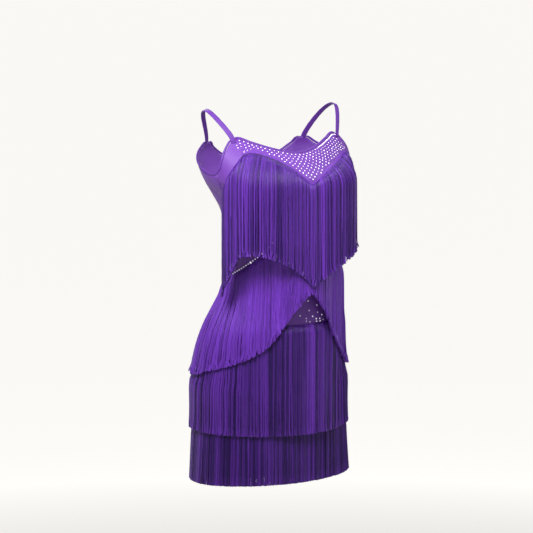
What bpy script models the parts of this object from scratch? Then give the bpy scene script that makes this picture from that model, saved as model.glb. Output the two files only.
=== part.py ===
"""Latin dance dress: a hollow, sleeveless stretch dress with four tiers of long fringe.

Metres, +Z up, the front faces -Y and the wearer's left is +X. Z = 0 is the top of the two
shoulder straps, where the dress is held, and the Z axis runs down the middle of the body.
Every surface is a point list over an angle round the body (0 at centre front, growing towards
the wearer's left) and a height. Each cloth piece is a closed wall between two such lists.
"""

import bpy
import numpy as np

# ---------------------------------------------------------------- sizes, metres and degrees
CLOTH = 0.0012            # thickness of the stretch cloth
SEAM_GAP = 0.0003         # air between neighbouring pieces
LAY = 0.0018              # air between a piece and the cloth it lies on
TIER_AIR = 0.0014         # more of it where a tier lies on the tier below
HEM_Z = -0.762            # hem of the cloth, just above the hem of the fringe

TAPE_TALL = 0.008         # woven heading the fringe is knotted to
TAPE_THICK = 0.0012
FRINGE_THICK = 0.0026     # depth of one hanging tier
SPREAD = 0.55             # how fast a tier may swing out over what lies under it

BODICE_FRINGE = (         # strand lengths, trimmed longer on the wearer's right
    # angle, length
    (-72.5, 0.213), (-55.0, 0.213), (-40.0, 0.206), (20.0, 0.206), (34.0, 0.198),
    (74.5, 0.196),
)
PEPLUM_FRINGE = 0.201
SKIRT_FRINGE = 0.222
HEM_FRINGE = 0.200
SKIRT_TAPE_Z = -0.446     # tops of the two level headings
HEM_TAPE_Z = -0.572

BINDING_TALL = 0.0048     # turned edge round neck and armholes
BINDING_THICK = 0.0022

STRAP_WIDE = 0.011
STRAP_THICK = 0.0018

# The body the dress is cut for, a section per height: half width, reach in front of the axis,
# reach behind it, and how far the section stands off towards the wearer's left.
FIGURE = (
    # height, half_width, front, back, sway
    (-0.030, 0.176, 0.045, 0.060, 0.000),
    (-0.060, 0.178, 0.068, 0.080, 0.000),
    (-0.090, 0.177, 0.103, 0.092, 0.000),
    (-0.120, 0.171, 0.133, 0.086, 0.001),
    (-0.150, 0.160, 0.152, 0.073, 0.003),
    (-0.180, 0.145, 0.149, 0.066, 0.008),
    (-0.220, 0.130, 0.133, 0.065, 0.013),
    (-0.280, 0.124, 0.123, 0.067, 0.017),
    (-0.330, 0.127, 0.122, 0.067, 0.021),
    (-0.380, 0.131, 0.123, 0.074, 0.018),
    (-0.430, 0.140, 0.121, 0.093, 0.007),
    (-0.500, 0.156, 0.113, 0.120, -0.002),
    (-0.560, 0.165, 0.108, 0.132, -0.004),
    (-0.660, 0.168, 0.105, 0.130, -0.004),
    (-0.800, 0.176, 0.106, 0.129, -0.003),
)
# Bust fullness and the hollow between: how far out, angle, angle spread, height, height spread.
BUST = (
    # out, angle, angle_spread, height, height_spread
    (0.014, 44.0, 21.0, -0.160, 0.040),
    (-0.006, 0.0, 16.0, -0.175, 0.035),
)

# Top edge of the front panel, one half: neckline, strap joint, armhole, side seam.
FRONT_EDGE = (
    # angle, height
    (0.0, -0.0910), (8.0, -0.0901), (16.0, -0.0877), (24.0, -0.0845), (32.0, -0.0809),
    (40.0, -0.0769), (48.0, -0.0722), (56.0, -0.0672), (64.3, -0.0600), (69.0, -0.0580),
    (69.3, -0.0760), (69.8, -0.1000), (71.0, -0.1190), (74.93, -0.1320),
)
# Top edge of the back panel, one half: side seam, armhole, strap joint, back neckline.
BACK_EDGE = (
    # angle, height
    (75.07, -0.1322), (79.0, -0.1350), (84.0, -0.1335), (90.0, -0.1260), (97.0, -0.1140),
    (104.0, -0.1020), (112.0, -0.0880), (117.6, -0.0745), (122.6, -0.0745), (128.0, -0.0895),
    (136.0, -0.1035), (144.0, -0.1130), (152.0, -0.1200), (160.0, -0.1245), (168.0, -0.1280),
    (176.0, -0.1298), (180.0, -0.1300),
)
# Heights of the rings below the bust; nine more rings rise from the last to the top edge.
PANEL_RINGS = (-0.680, -0.600, -0.560, -0.520, -0.480, -0.450, -0.420, -0.395, -0.370,
               -0.345, -0.320, -0.290, -0.255, -0.225, -0.205)
TOP_RINGS = 9

# Top of the bodice heading: from the wearer's right side seam over the bust to the left one.
BODICE_TAPE = (
    # angle, height
    (-72.5, -0.1640), (-68.0, -0.1460), (-63.0, -0.1220), (-59.0, -0.1020), (-55.5, -0.0840),
    (-51.0, -0.0825), (-44.0, -0.0855), (-36.0, -0.0905), (-27.0, -0.0990), (-18.0, -0.1095),
    (-9.0, -0.1250), (-3.0, -0.1400), (1.0, -0.1480), (5.0, -0.1430), (11.0, -0.1340),
    (20.0, -0.1230), (29.0, -0.1150), (38.0, -0.1080), (47.0, -0.1010), (55.0, -0.0950),
    (62.0, -0.0940), (65.0, -0.1010), (68.0, -0.1180), (71.0, -0.1380), (74.5, -0.1560),
)
# Top of the slanting heading that starts under the bust and dips to the waist, all round.
PEPLUM_TAPE = (
    # angle, height
    (-180.0, -0.3600), (-110.0, -0.3600), (-98.0, -0.3580), (-90.0, -0.3540),
    (-84.0, -0.3470), (-76.0, -0.3380), (-66.0, -0.3270), (-56.0, -0.3145), (-50.0, -0.3060),
    (-44.0, -0.2970), (-36.0, -0.2830), (-28.0, -0.2610), (-20.0, -0.2330), (-12.0, -0.2040),
    (-6.0, -0.1820), (0.0, -0.1680), (6.0, -0.1810), (12.0, -0.1990), (20.0, -0.2200),
    (28.0, -0.2460), (36.0, -0.2720), (44.0, -0.2940), (52.0, -0.3130), (60.0, -0.3300),
    (68.0, -0.3390), (76.0, -0.3430), (84.0, -0.3480), (90.0, -0.3540), (98.0, -0.3580),
    (110.0, -0.3600), (180.0, -0.3600),
)

# Middle line of the wearer's left strap with the way its flat face looks.
STRAP_LINE = (
    # x, y, z, face_x, face_y, face_z
    (0.1290, -0.0520, -0.0572, 0.36, -0.90, 0.25),
    (0.1395, -0.0370, -0.0345, 0.36, -0.78, 0.50),
    (0.1520, -0.0160, -0.0115, 0.35, -0.50, 0.79),
    (0.1575, 0.0000, -0.0012, 0.33, -0.14, 0.94),
    (0.1570, 0.0150, -0.0015, 0.33, 0.20, 0.92),
    (0.1480, 0.0340, -0.0150, 0.34, 0.55, 0.76),
    (0.1335, 0.0500, -0.0400, 0.38, 0.76, 0.52),
    (0.1185, 0.0620, -0.0735, 0.42, 0.86, 0.28),
)
STRAP_STEPS = 18

# Rows of each tier, as shares of its length from the heading down: close where it bends.
BODICE_ROWS = (0.0, 0.05, 0.10, 0.15, 0.20, 0.26, 0.33, 0.42, 0.70, 1.0)
PEPLUM_ROWS = (0.0, 0.08, 0.16, 0.25, 0.34, 0.43, 0.52, 0.61, 0.70, 0.80, 0.90, 1.0)
SKIRT_ROWS = (0.0, 0.07, 0.14, 0.21, 0.28, 0.35, 0.43, 0.52, 0.63, 1.0)
HEM_ROWS = (0.0, 0.15, 0.30, 0.50, 1.0)

BODICE_COLUMNS = (-72.5, -70, -66, -63, -60, -57, -53, -48, -42, -36, -30, -24, -18, -12, -7,
                  -3, 1, 5, 9, 14, 19, 24, 30, 36, 42, 48, 54, 59, 62, 65, 68, 71, 74.5)
RING_STEP = 8.0           # degrees between the columns of an all-round wall
COLOURS = {
    "cloth": (0.190, 0.055, 0.456),
    "fringe": (0.080, 0.018, 0.260),
    "heading": (0.120, 0.030, 0.340),
}


# ---------------------------------------------------------------- curves and the figure
def smooth(xs, ys, x):
    """A curve through the points that never rises above or falls below its neighbours."""
    xs, ys, x = (np.asarray(v, float) for v in (xs, ys, x))
    step = np.diff(xs)
    slope = np.diff(ys) / step
    grade = np.concatenate(([slope[0]], np.zeros(len(xs) - 2), [slope[-1]]))
    turn = slope[1:] * slope[:-1] > 0
    near, far = 2 * step[1:] + step[:-1], step[1:] + 2 * step[:-1]
    safe = np.where(turn, slope[:-1], 1.0), np.where(turn, slope[1:], 1.0)
    grade[1:-1] = np.where(turn, (near + far) / (near / safe[0] + far / safe[1]), 0.0)
    i = np.clip(np.searchsorted(xs, x) - 1, 0, len(step) - 1)
    t = np.clip((x - xs[i]) / step[i], 0.0, 1.0)
    return ((1 + 2 * t) * (1 - t) ** 2 * ys[i] + t * (1 - t) ** 2 * step[i] * grade[i]
            + t * t * (3 - 2 * t) * ys[i + 1] + t * t * (t - 1) * step[i] * grade[i + 1])


def figure_radius(angle, z):
    """Distance from the body's axis to its skin, at an angle in degrees and a height."""
    height, half, front, back, sway = np.array(FIGURE)[::-1].T
    turn = np.radians(angle)
    deep = np.where(np.cos(turn) > 0, smooth(height, front, z), smooth(height, back, z))
    wide, shift = smooth(height, half, z), smooth(height, sway, z)
    square = (np.sin(turn) / wide) ** 2 + (np.cos(turn) / deep) ** 2
    lean = shift * np.sin(turn) / wide ** 2
    out = (lean + np.sqrt(lean ** 2 - square * ((shift / wide) ** 2 - 1))) / square
    side = np.abs((angle + 180) % 360 - 180)
    for rise, at, spread, level, tall in BUST:
        out = out + rise * np.exp(-((side - at) / spread) ** 2 - ((z - level) / tall) ** 2)
    return out


def place(angle, z, radius):
    turn = np.radians(angle)
    return np.stack([radius * np.sin(turn), -radius * np.cos(turn), z + 0 * radius], axis=-1)


def on_body(angle, z, lift):
    angle, z = np.broadcast_arrays(np.asarray(angle, float), np.asarray(z, float))
    return place(angle, z, figure_radius(angle, z) + lift)


# ---------------------------------------------------------------- solids
def sheet(name, grid, thick, colour, ring=False, middle=False):
    """An open surface lofted through rows of points, given its thickness by Solidify: outwards
    from the rows, or half to each side. Rows run upwards and columns towards the left."""
    rows, cols = grid.shape[:2]
    faces = []
    for r in range(rows - 1):
        for c in range(cols if ring else cols - 1):
            a, b = r * cols + c, r * cols + (c + 1) % cols
            faces.append((a, b, b + cols, a + cols))
    mesh = bpy.data.meshes.new(name)
    mesh.from_pydata(grid.reshape(-1, 3).tolist(), [], faces)
    mesh.shade_smooth()
    mesh.materials.append(MATERIALS[colour])
    thing = bpy.data.objects.new(name, mesh)
    DRESS.objects.link(thing)
    depth = thing.modifiers.new("thickness", "SOLIDIFY")
    depth.thickness = thick
    depth.offset = 0.0 if middle else 1.0
    return thing


def unit(v):
    return v / np.linalg.norm(v, axis=-1, keepdims=True)


def ribbon(name, line, across, wide, thick):
    """A flat strip along a line, as wide as asked in the direction `across`."""
    grid = np.stack([line - across * wide / 2, line + across * wide / 2])
    sheet(name, grid, thick, "cloth", middle=True)


# ---------------------------------------------------------------- the two body panels
def panel(name, edge):
    angle, top = np.array(edge).T
    rise = (np.arange(1, TOP_RINGS + 1) / TOP_RINGS)[:, None]
    low = np.repeat(np.array((HEM_Z,) + PANEL_RINGS)[:, None], len(angle), axis=1)
    high = PANEL_RINGS[-1] + (top - PANEL_RINGS[-1]) * rise
    sheet(name, on_body(angle, np.concatenate([low, high]), 0.0), CLOTH, "cloth")


def mirrored(edge):
    return tuple((-a, z) for a, z in reversed(edge) if a > 0) + tuple(edge)


def binding(name, edge, steps):
    """A narrow bound edge standing on the top edge of a panel."""
    angle, z = np.array(edge).T
    run = np.concatenate([[0], np.cumsum(np.linalg.norm(
        np.diff(on_body(angle, z, 0.0), axis=0), axis=1))])
    at = np.linspace(0, run[-1], steps)
    angle, z = np.interp(at, run, angle), np.interp(at, run, z)
    line = on_body(angle, z, CLOTH / 2)
    way = unit(np.gradient(line, axis=0))
    round_body = on_body(angle + 0.5, z, 0.0) - on_body(angle - 0.5, z, 0.0)
    up_body = on_body(angle, z + 0.001, 0.0) - on_body(angle, z - 0.001, 0.0)
    face = unit(np.cross(round_body, up_body))
    across = unit(np.cross(face, way))
    line = line + across * (BINDING_TALL / 2 + 2 * SEAM_GAP)
    ribbon(name, line, across, BINDING_TALL, BINDING_THICK)


# ---------------------------------------------------------------- fringe
FINE = np.arange(-0.800, -0.080, 0.002)[::-1]     # heights from the top down


def hang(angle, top, under):
    """Radius of a tier at each fine height: it drops plumb from whatever stands out most
    above, and swings out just ahead of anything wider below."""
    hung = FINE[:, None] <= top[None, :] + 0.004
    base = np.where(hung, under, 0.0)
    plumb = np.maximum.accumulate(base, axis=0)
    drop = SPREAD * 0.002
    ahead = base.copy()
    for row in range(len(FINE) - 2, -1, -1):
        ahead[row] = np.maximum(ahead[row], ahead[row + 1] - drop)
    return np.where(hung, np.maximum(plumb, ahead), under)


def reach(radius, angle, start, length):
    """Height each strand ends at, once its length is used up along the hanging profile."""
    ends = []
    cord = np.broadcast_to(length, start.shape)
    for column, z0 in enumerate(start):
        profile = radius[:, column]
        below = FINE <= z0
        z, r = FINE[below], profile[below]
        run = np.concatenate([[0], np.cumsum(np.hypot(np.diff(z), np.diff(r)))])
        ends.append(np.interp(cord[column], run, z))
    return np.array(ends)


def sample(radius, z):
    return np.array([[np.interp(-z[r, c], -FINE, radius[:, c]) for c in range(z.shape[1])]
                     for r in range(z.shape[0])])


def tier(name, angle, top, length, rows, under, ring):
    """The heading tape and, below it, the hanging tier. Returns what the tier covers."""
    lay = under + LAY
    tape_z = np.stack([top - TAPE_TALL, top])
    hung = hang(angle, top, lay)
    sheet(name + "_heading", place(angle, tape_z, sample(hung, tape_z)), TAPE_THICK, "heading",
          ring)
    start = top - TAPE_TALL - SEAM_GAP
    end = reach(hung, angle, start, length)
    z = start + (end - start) * np.array(rows)[::-1, None]
    sheet(name, place(angle, z, sample(hung, z)), FRINGE_THICK, "fringe", ring)
    inside = (FINE[:, None] <= top[None, :]) & (FINE[:, None] >= end[None, :] - 0.004)
    return np.where(inside, hung + FRINGE_THICK + TIER_AIR, under)


# ---------------------------------------------------------------- the build
for thing in list(bpy.data.objects):
    bpy.data.objects.remove(thing, do_unlink=True)
DRESS = bpy.data.collections.new("latin_dance_dress")
bpy.context.scene.collection.children.link(DRESS)
MATERIALS = {}
for title, rgb in COLOURS.items():
    made = bpy.data.materials.new("purple_" + title)
    made.use_nodes = True
    shader = made.node_tree.nodes["Principled BSDF"]
    shader.inputs["Base Color"].default_value = (*rgb, 1.0)
    shader.inputs["Roughness"].default_value = 0.55
    MATERIALS[title] = made

panel("front_panel", mirrored(FRONT_EDGE))
full_back = BACK_EDGE + tuple((360 - a, z) for a, z in reversed(BACK_EDGE) if a < 180)
panel("back_panel", full_back)

neck_half = tuple(p for p in FRONT_EDGE if p[0] < 64)
binding("neck_binding_front", mirrored(neck_half), 25)
back_half = tuple(p for p in BACK_EDGE if p[0] > 123)
binding("neck_binding_back",
        tuple(back_half) + tuple((360 - a, z) for a, z in reversed(back_half) if a < 180), 21)
arm = tuple(p for p in FRONT_EDGE if p[0] > 69.1) + tuple(p for p in BACK_EDGE if p[0] < 117)
binding("armhole_binding_left", arm, 23)
binding("armhole_binding_right", tuple((-a, z) for a, z in reversed(arm)), 23)

station = np.array(STRAP_LINE)
share = np.linspace(0, len(station) - 1, STRAP_STEPS)
strap = np.stack([smooth(np.arange(len(station)), station[:, k], share) for k in range(6)], 1)
for side, sign in (("left", 1.0), ("right", -1.0)):
    flip = np.array([sign, 1.0, 1.0])
    line, face = strap[:, :3] * flip, unit(strap[:, 3:] * flip)
    way = unit(np.gradient(line, axis=0))
    across = unit(np.cross(face, way))
    ribbon("strap_" + side, line, across, STRAP_WIDE, STRAP_THICK)

round_body = np.arange(-180.0, 180.0, RING_STEP)
cloth = figure_radius(round_body[None, :], FINE[:, None]) + CLOTH
level = np.ones_like(round_body)
hem = tier("hem_fringe", round_body, HEM_TAPE_Z * level, HEM_FRINGE, HEM_ROWS, cloth, True)
skirt = tier("skirt_fringe", round_body, SKIRT_TAPE_Z * level, SKIRT_FRINGE, SKIRT_ROWS, hem, True)
peplum_top = smooth(*np.array(PEPLUM_TAPE).T, round_body)
peplum = tier("peplum_fringe", round_body, peplum_top, PEPLUM_FRINGE, PEPLUM_ROWS, skirt, True)
front = np.array(BODICE_COLUMNS)
bodice_top = np.interp(front, *np.array(BODICE_TAPE).T)
covered = np.stack([np.interp(front, round_body, row) for row in peplum])
own = figure_radius(front[None, :], FINE[:, None]) + CLOTH
cord = np.interp(front, *np.array(BODICE_FRINGE).T)
tier("bodice_fringe", front, bodice_top, cord, BODICE_ROWS, np.maximum(covered, own), False)
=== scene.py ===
"""Latin dance dress: the looks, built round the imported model.

Metres, +Z up, the front faces -Y and the wearer's left is +X. Z = 0 is the top of the straps.
Every surface is a function of an angle round the body (0 at centre front, growing towards the
wearer's left) and a height. A tier of fringe is a few rows of long cord loops that drop plumb
from whatever stands out most above them and swing out over what is wider below.
"""

import math
from collections import namedtuple

import bmesh
import bpy
import numpy as np
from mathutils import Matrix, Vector


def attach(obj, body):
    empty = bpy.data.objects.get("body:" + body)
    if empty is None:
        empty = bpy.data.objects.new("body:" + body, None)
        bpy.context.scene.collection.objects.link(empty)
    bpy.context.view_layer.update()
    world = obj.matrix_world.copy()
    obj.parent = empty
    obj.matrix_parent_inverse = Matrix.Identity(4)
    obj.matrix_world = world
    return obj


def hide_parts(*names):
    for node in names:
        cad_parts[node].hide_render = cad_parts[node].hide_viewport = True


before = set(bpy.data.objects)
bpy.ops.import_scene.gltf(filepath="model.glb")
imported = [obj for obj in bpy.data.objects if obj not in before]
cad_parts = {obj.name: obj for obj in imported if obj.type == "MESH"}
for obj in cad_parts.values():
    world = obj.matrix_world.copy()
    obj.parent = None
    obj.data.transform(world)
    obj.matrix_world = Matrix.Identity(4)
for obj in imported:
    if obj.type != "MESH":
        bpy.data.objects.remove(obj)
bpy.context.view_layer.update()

# ---------------------------------------------------------------- sizes, metres and degrees
CLOTH = 0.0012            # stretch cloth
LAY = 0.0018              # air between a tier and the cloth it lies on
TIER_AIR = 0.0014         # more of it where a tier lies on the tier below
TIER_THICK = 0.0026        # of a tier, to the tier that lies on it
TAPE_TALL = 0.008         # heading the cords are knotted to
TAPE_THICK = 0.0012
SPREAD = 0.55             # how fast a tier may swing out
HEM_Z = -0.762
CORD = 0.00098            # radius of one cord
SPACING = 0.0020          # between cords in a row
ROWS = 3                  # rows of cords, one over another, and one more at the hem

# The body the dress is cut for: half width, reach in front of the axis, reach behind it, and
# how far the section stands off towards the wearer's left.
FIGURE = (
    # height, half_width, front, back, sway
    (-0.030, 0.176, 0.045, 0.060, 0.000),
    (-0.060, 0.178, 0.068, 0.080, 0.000),
    (-0.090, 0.177, 0.103, 0.092, 0.000),
    (-0.120, 0.171, 0.133, 0.086, 0.001),
    (-0.150, 0.160, 0.152, 0.073, 0.003),
    (-0.180, 0.145, 0.149, 0.066, 0.008),
    (-0.220, 0.130, 0.133, 0.065, 0.013),
    (-0.280, 0.124, 0.123, 0.067, 0.017),
    (-0.330, 0.127, 0.122, 0.067, 0.021),
    (-0.380, 0.131, 0.123, 0.074, 0.018),
    (-0.430, 0.140, 0.121, 0.093, 0.007),
    (-0.500, 0.156, 0.113, 0.120, -0.002),
    (-0.560, 0.165, 0.108, 0.132, -0.004),
    (-0.660, 0.168, 0.105, 0.130, -0.004),
    (-0.800, 0.176, 0.106, 0.129, -0.003),
)
BUST = (
    # out, angle, angle_spread, height, height_spread
    (0.014, 44.0, 21.0, -0.160, 0.040),
    (-0.006, 0.0, 16.0, -0.175, 0.035),
)
# Top edges of the two panels, one half each.
FRONT_EDGE = (
    # angle, height
    (0.0, -0.0910), (8.0, -0.0901), (16.0, -0.0877), (24.0, -0.0845), (32.0, -0.0809),
    (40.0, -0.0769), (48.0, -0.0722), (56.0, -0.0672), (64.3, -0.0600), (69.0, -0.0580),
    (69.3, -0.0760), (69.8, -0.1000), (71.0, -0.1190), (74.93, -0.1320),
)
BACK_EDGE = (
    # angle, height
    (75.07, -0.1322), (79.0, -0.1350), (84.0, -0.1335), (90.0, -0.1260), (97.0, -0.1140),
    (104.0, -0.1020), (112.0, -0.0880), (117.6, -0.0745), (122.6, -0.0745), (128.0, -0.0895),
    (136.0, -0.1035), (144.0, -0.1130), (152.0, -0.1200), (160.0, -0.1245), (168.0, -0.1280),
    (176.0, -0.1298), (180.0, -0.1300),
)
BODICE_TAPE = (
    # angle, height of the heading's top
    (-72.5, -0.1640), (-68.0, -0.1460), (-63.0, -0.1220), (-59.0, -0.1020), (-55.5, -0.0840),
    (-51.0, -0.0825), (-44.0, -0.0855), (-36.0, -0.0905), (-27.0, -0.0990), (-18.0, -0.1095),
    (-9.0, -0.1250), (-3.0, -0.1400), (1.0, -0.1480), (5.0, -0.1430), (11.0, -0.1340),
    (20.0, -0.1230), (29.0, -0.1150), (38.0, -0.1080), (47.0, -0.1010), (55.0, -0.0950),
    (62.0, -0.0940), (65.0, -0.1010), (68.0, -0.1180), (71.0, -0.1380), (74.5, -0.1560),
)
PEPLUM_TAPE = (
    # angle, height
    (-180.0, -0.3600), (-110.0, -0.3600), (-98.0, -0.3580), (-90.0, -0.3540),
    (-84.0, -0.3470), (-76.0, -0.3380), (-66.0, -0.3270), (-56.0, -0.3145), (-50.0, -0.3060),
    (-44.0, -0.2970), (-36.0, -0.2830), (-28.0, -0.2610), (-20.0, -0.2330), (-12.0, -0.2040),
    (-6.0, -0.1820), (0.0, -0.1680), (6.0, -0.1810), (12.0, -0.1990), (20.0, -0.2200),
    (28.0, -0.2460), (36.0, -0.2720), (44.0, -0.2940), (52.0, -0.3130), (60.0, -0.3300),
    (68.0, -0.3390), (76.0, -0.3430), (84.0, -0.3480), (90.0, -0.3540), (98.0, -0.3580),
    (110.0, -0.3600), (180.0, -0.3600),
)
SKIRT_TAPE = ((-180.0, -0.446), (180.0, -0.446))
HEM_TAPE = ((-180.0, -0.572), (180.0, -0.572))

# The tiers, from the hem up. Each has its heading's line, its cords' length as (angle, length)
# pairs, how far below the heading's top the cords come out, the stations down one leg of a cord,
# how far cords lean and wave, the share of them that stray, how much their ends curl, and its
# place between the dark and the light colour, which is painted light: painted shade darkens the
# hem, the skirt and the bodice, and a painted highlight lightens the peplum.
Tier = namedtuple("Tier", "name heading lengths start stations sway stray curl tone")
TIERS = (
    Tier("hem", HEM_TAPE, ((-180, 0.200), (180, 0.200)), 0.0, 10, 0.28, 0.02, 0.2, -1.35),
    Tier("skirt", SKIRT_TAPE, ((-180, 0.222), (180, 0.222)), 0.0, 13, 0.5, 0.02, 0.6, -0.8),
    Tier("peplum", PEPLUM_TAPE, ((-180, 0.201), (180, 0.201)), 0.0042, 15, 1.2, 0.06, 2.1, 1.5),
    Tier("bodice", BODICE_TAPE,
         ((-72.5, 0.213), (-55, 0.213), (-40, 0.206), (20, 0.206), (34, 0.198), (60, 0.196),
          (74.5, 0.166)),
         0.0035, 19, 0.7, 0.03, 2.2, -0.95),
)
# A tier that comes out from under another: how far it flares there, and about how far below
# the other's lower edge the flare has gone again. The hem's is set so long that it stays.
FLARES = (
    # tier, tier above it, out, fade
    ("skirt", "peplum", 0.0020, 0.06),
    ("hem", "skirt", 0.0014, 9.0),
)

# How cords depart from hanging plumb, in metres where the tier's sway and curl are 1.
CLUMP_WIDE = (0.0028, 0.0064)     # along the heading
CLUMP_PULL = 0.15                 # most that a clump draws in, as a share of its half width
CLUMP_BULGE = 0.0010              # its middle stands out this far from its edges
CLUMP_OUT, CLUMP_LEAN = 0.0004, 0.0009
CORD_LEAN, STRAY_LEAN, SLOW_LEAN = 0.0011, 0.006, 0.0012
SLOW_WAVE = 0.055                 # length of the slow lean along the heading
CORD_BEND = 0.0007
WAVE_LONG, WAVE_WIDE = (0.028, 0.075), (0.0002, 0.0007)
CURL_FROM = 0.93                  # share of the length at which the curl of the end starts
CURL_SIDE, CURL_OUT = 0.0016, 0.0011
ROW_LIFT, ROW_APART = 0.0010, 0.0009
TOP_LIFT = 0.0009                 # all rows together, where they leave the heading
STRAY_OUT = 0.0014

STRAP_LINE = (
    # x, y, z, face_x, face_y, face_z
    (0.1266, -0.0541, -0.0672, 0.40, -0.90, 0.16),
    (0.1275, -0.0532, -0.0575, 0.36, -0.90, 0.25),
    (0.1395, -0.0370, -0.0345, 0.36, -0.78, 0.50),
    (0.1520, -0.0160, -0.0115, 0.35, -0.50, 0.79),
    (0.1575, 0.0000, -0.0012, 0.33, -0.14, 0.94),
    (0.1570, 0.0150, -0.0015, 0.33, 0.20, 0.92),
    (0.1480, 0.0340, -0.0150, 0.34, 0.55, 0.76),
    (0.1335, 0.0500, -0.0400, 0.38, 0.76, 0.52),
    (0.1185, 0.0650, -0.0720, 0.42, 0.86, 0.24),
    (0.1190, 0.0693, -0.0835, 0.42, 0.88, 0.14),
)
STRAP_WIDE, STRAP_THICK = 0.011, 0.0018
BINDING_TALL, BINDING_THICK = 0.0048, 0.0022
STRAP_ROUND, BINDING_ROUND = 0.026, 0.014     # round the outside of each
SEAM_ANGLE = 75.0
SEAM_TOP = -0.1375
BODY_ROUND = 0.13         # a middling radius, for widths given round the body
KNIT_ROUND = 0.15         # the radius at which the knit's own grid is laid out

# Soft troughs (minus) and ridges (plus) in the stretch cloth, each along a short run.
CREASES = (
    # angle, height, angle_end, height_end, width, rise
    (-74.0, -0.140, -66.0, -0.158, 0.0035, 0.0012),
    (-76.0, -0.146, -68.0, -0.170, 0.0040, -0.0014),
    (-92.0, -0.150, -80.0, -0.190, 0.0060, -0.0012),
    (-104.0, -0.150, -88.0, -0.205, 0.0070, 0.0010),
    (-66.0, -0.072, -61.0, -0.092, 0.0040, -0.0009),
    (-69.0, -0.085, -64.0, -0.110, 0.0035, 0.0008),
    (74.0, -0.140, 66.0, -0.160, 0.0035, 0.0012),
    (77.0, -0.148, 69.0, -0.172, 0.0040, -0.0013),
    (93.0, -0.150, 81.0, -0.192, 0.0060, -0.0012),
    (65.0, -0.072, 61.0, -0.090, 0.0040, -0.0009),
    (128.0, -0.270, 168.0, -0.282, 0.0070, -0.0016),
    (192.0, -0.286, 236.0, -0.268, 0.0075, -0.0018),
    (134.0, -0.300, 214.0, -0.308, 0.0080, 0.0016),
    (150.0, -0.330, 205.0, -0.326, 0.0070, -0.0015),
    (122.0, -0.340, 150.0, -0.352, 0.0060, 0.0012),
    (124.0, -0.090, 138.0, -0.150, 0.0060, -0.0010),
    (236.0, -0.090, 222.0, -0.150, 0.0060, -0.0010),
    (-10.0, -0.404, -2.0, -0.444, 0.0050, -0.0008),
    (14.0, -0.396, 27.0, -0.446, 0.0050, -0.0008),
)

# Stones sewn on the belly below the peplum's peak.
BELLY_STONES = (
    # angle, height, size
    (5.0, -0.3965, 1.0), (15.5, -0.4070, 0.9), (6.5, -0.4170, 0.8), (17.0, -0.4225, 1.0),
    (23.0, -0.4290, 1.1), (-3.5, -0.4265, 0.9), (11.0, -0.4300, 1.2), (3.5, -0.4330, 0.8),
    (4.0, -0.4390, 0.8), (15.8, -0.4360, 1.2), (20.5, -0.4365, 1.2), (16.6, -0.4415, 1.1),
    (21.3, -0.4420, 1.1), (8.0, -0.4410, 0.7), (25.5, -0.4400, 0.7),
)
STONE = 0.0013            # radius of a yoke stone
STONE_SIZES = ((0.8, 1.0, 1.12), (0.3, 0.5, 0.2))     # of it, and the share of each
STONE_LIFT = CLOTH + 0.0001
YOKE_ROWS = 12
YOKE_ROW = 0.0064         # between rows of stones, down from the neck edge
YOKE_STEP = 0.0090        # between stones in a row
YOKE_MARGIN = 0.0024      # least distance above the heading
CHAIN_STEP, CHAIN_STONE, CHAIN_LIFT = 0.0064, 0.0014, 0.0043
CHAIN_END = 91.0          # the chain's last angle on either side
BIG_STONE, BIG_STONE_ANGLE = 0.0026, -55.5
NECK_STEP, NECK_STONE, NECK_LIFT = 0.0026, 0.0012, 0.0014
NECK_LINE = (
    # angle, height
    (32.0, -0.0809), (40.0, -0.0769), (48.0, -0.0722), (56.0, -0.0672), (64.3, -0.0600),
    (67.5, -0.0600),
)
BELOW_EDGE = 0.0022       # the chain and the neck line hang this far below their own lines


# ---------------------------------------------------------------- curves and the figure
def smooth(xs, ys, x):
    """Monotone cubic through the points: each span is a Hermite curve whose end slopes are the
    harmonic mean of the slopes either side, and zero where they change sign."""
    xs, ys, x = (np.asarray(v, float) for v in (xs, ys, x))
    step = np.diff(xs)
    slope = np.diff(ys) / step
    grade = np.concatenate(([slope[0]], np.zeros(len(xs) - 2), [slope[-1]]))
    turn = slope[1:] * slope[:-1] > 0
    near, far = 2 * step[1:] + step[:-1], step[1:] + 2 * step[:-1]
    safe = np.where(turn, slope[:-1], 1.0), np.where(turn, slope[1:], 1.0)
    grade[1:-1] = np.where(turn, (near + far) / (near / safe[0] + far / safe[1]), 0.0)
    i = np.clip(np.searchsorted(xs, x) - 1, 0, len(step) - 1)
    t = np.clip((x - xs[i]) / step[i], 0.0, 1.0)
    return ((1 + 2 * t) * (1 - t) ** 2 * ys[i] + t * (1 - t) ** 2 * step[i] * grade[i]
            + t * t * (3 - 2 * t) * ys[i + 1] + t * t * (t - 1) * step[i] * grade[i + 1])


def figure_radius(angle, z):
    """Distance from the axis: the ray's crossing with an ellipse that stands off by the sway,
    with one depth in front and another behind, plus Gaussian fullness at the bust."""
    height, half, front, back, sway = np.array(FIGURE)[::-1].T
    turn = np.radians(angle)
    deep = np.where(np.cos(turn) > 0, smooth(height, front, z), smooth(height, back, z))
    wide, shift = smooth(height, half, z), smooth(height, sway, z)
    square = (np.sin(turn) / wide) ** 2 + (np.cos(turn) / deep) ** 2
    lean = shift * np.sin(turn) / wide ** 2
    out = (lean + np.sqrt(lean ** 2 - square * ((shift / wide) ** 2 - 1))) / square
    side = np.abs((angle + 180) % 360 - 180)
    for rise, at, spread, level, tall in BUST:
        out = out + rise * np.exp(-((side - at) / spread) ** 2 - ((z - level) / tall) ** 2)
    return out


def place(angle, z, radius):
    """Point at an angle, a height and a distance from the axis."""
    turn = np.radians(angle)
    return np.stack([radius * np.sin(turn), -radius * np.cos(turn), z + 0 * radius], axis=-1)


def unit(v):
    """Vectors brought to length one."""
    return v / np.linalg.norm(v, axis=-1, keepdims=True)


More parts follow.
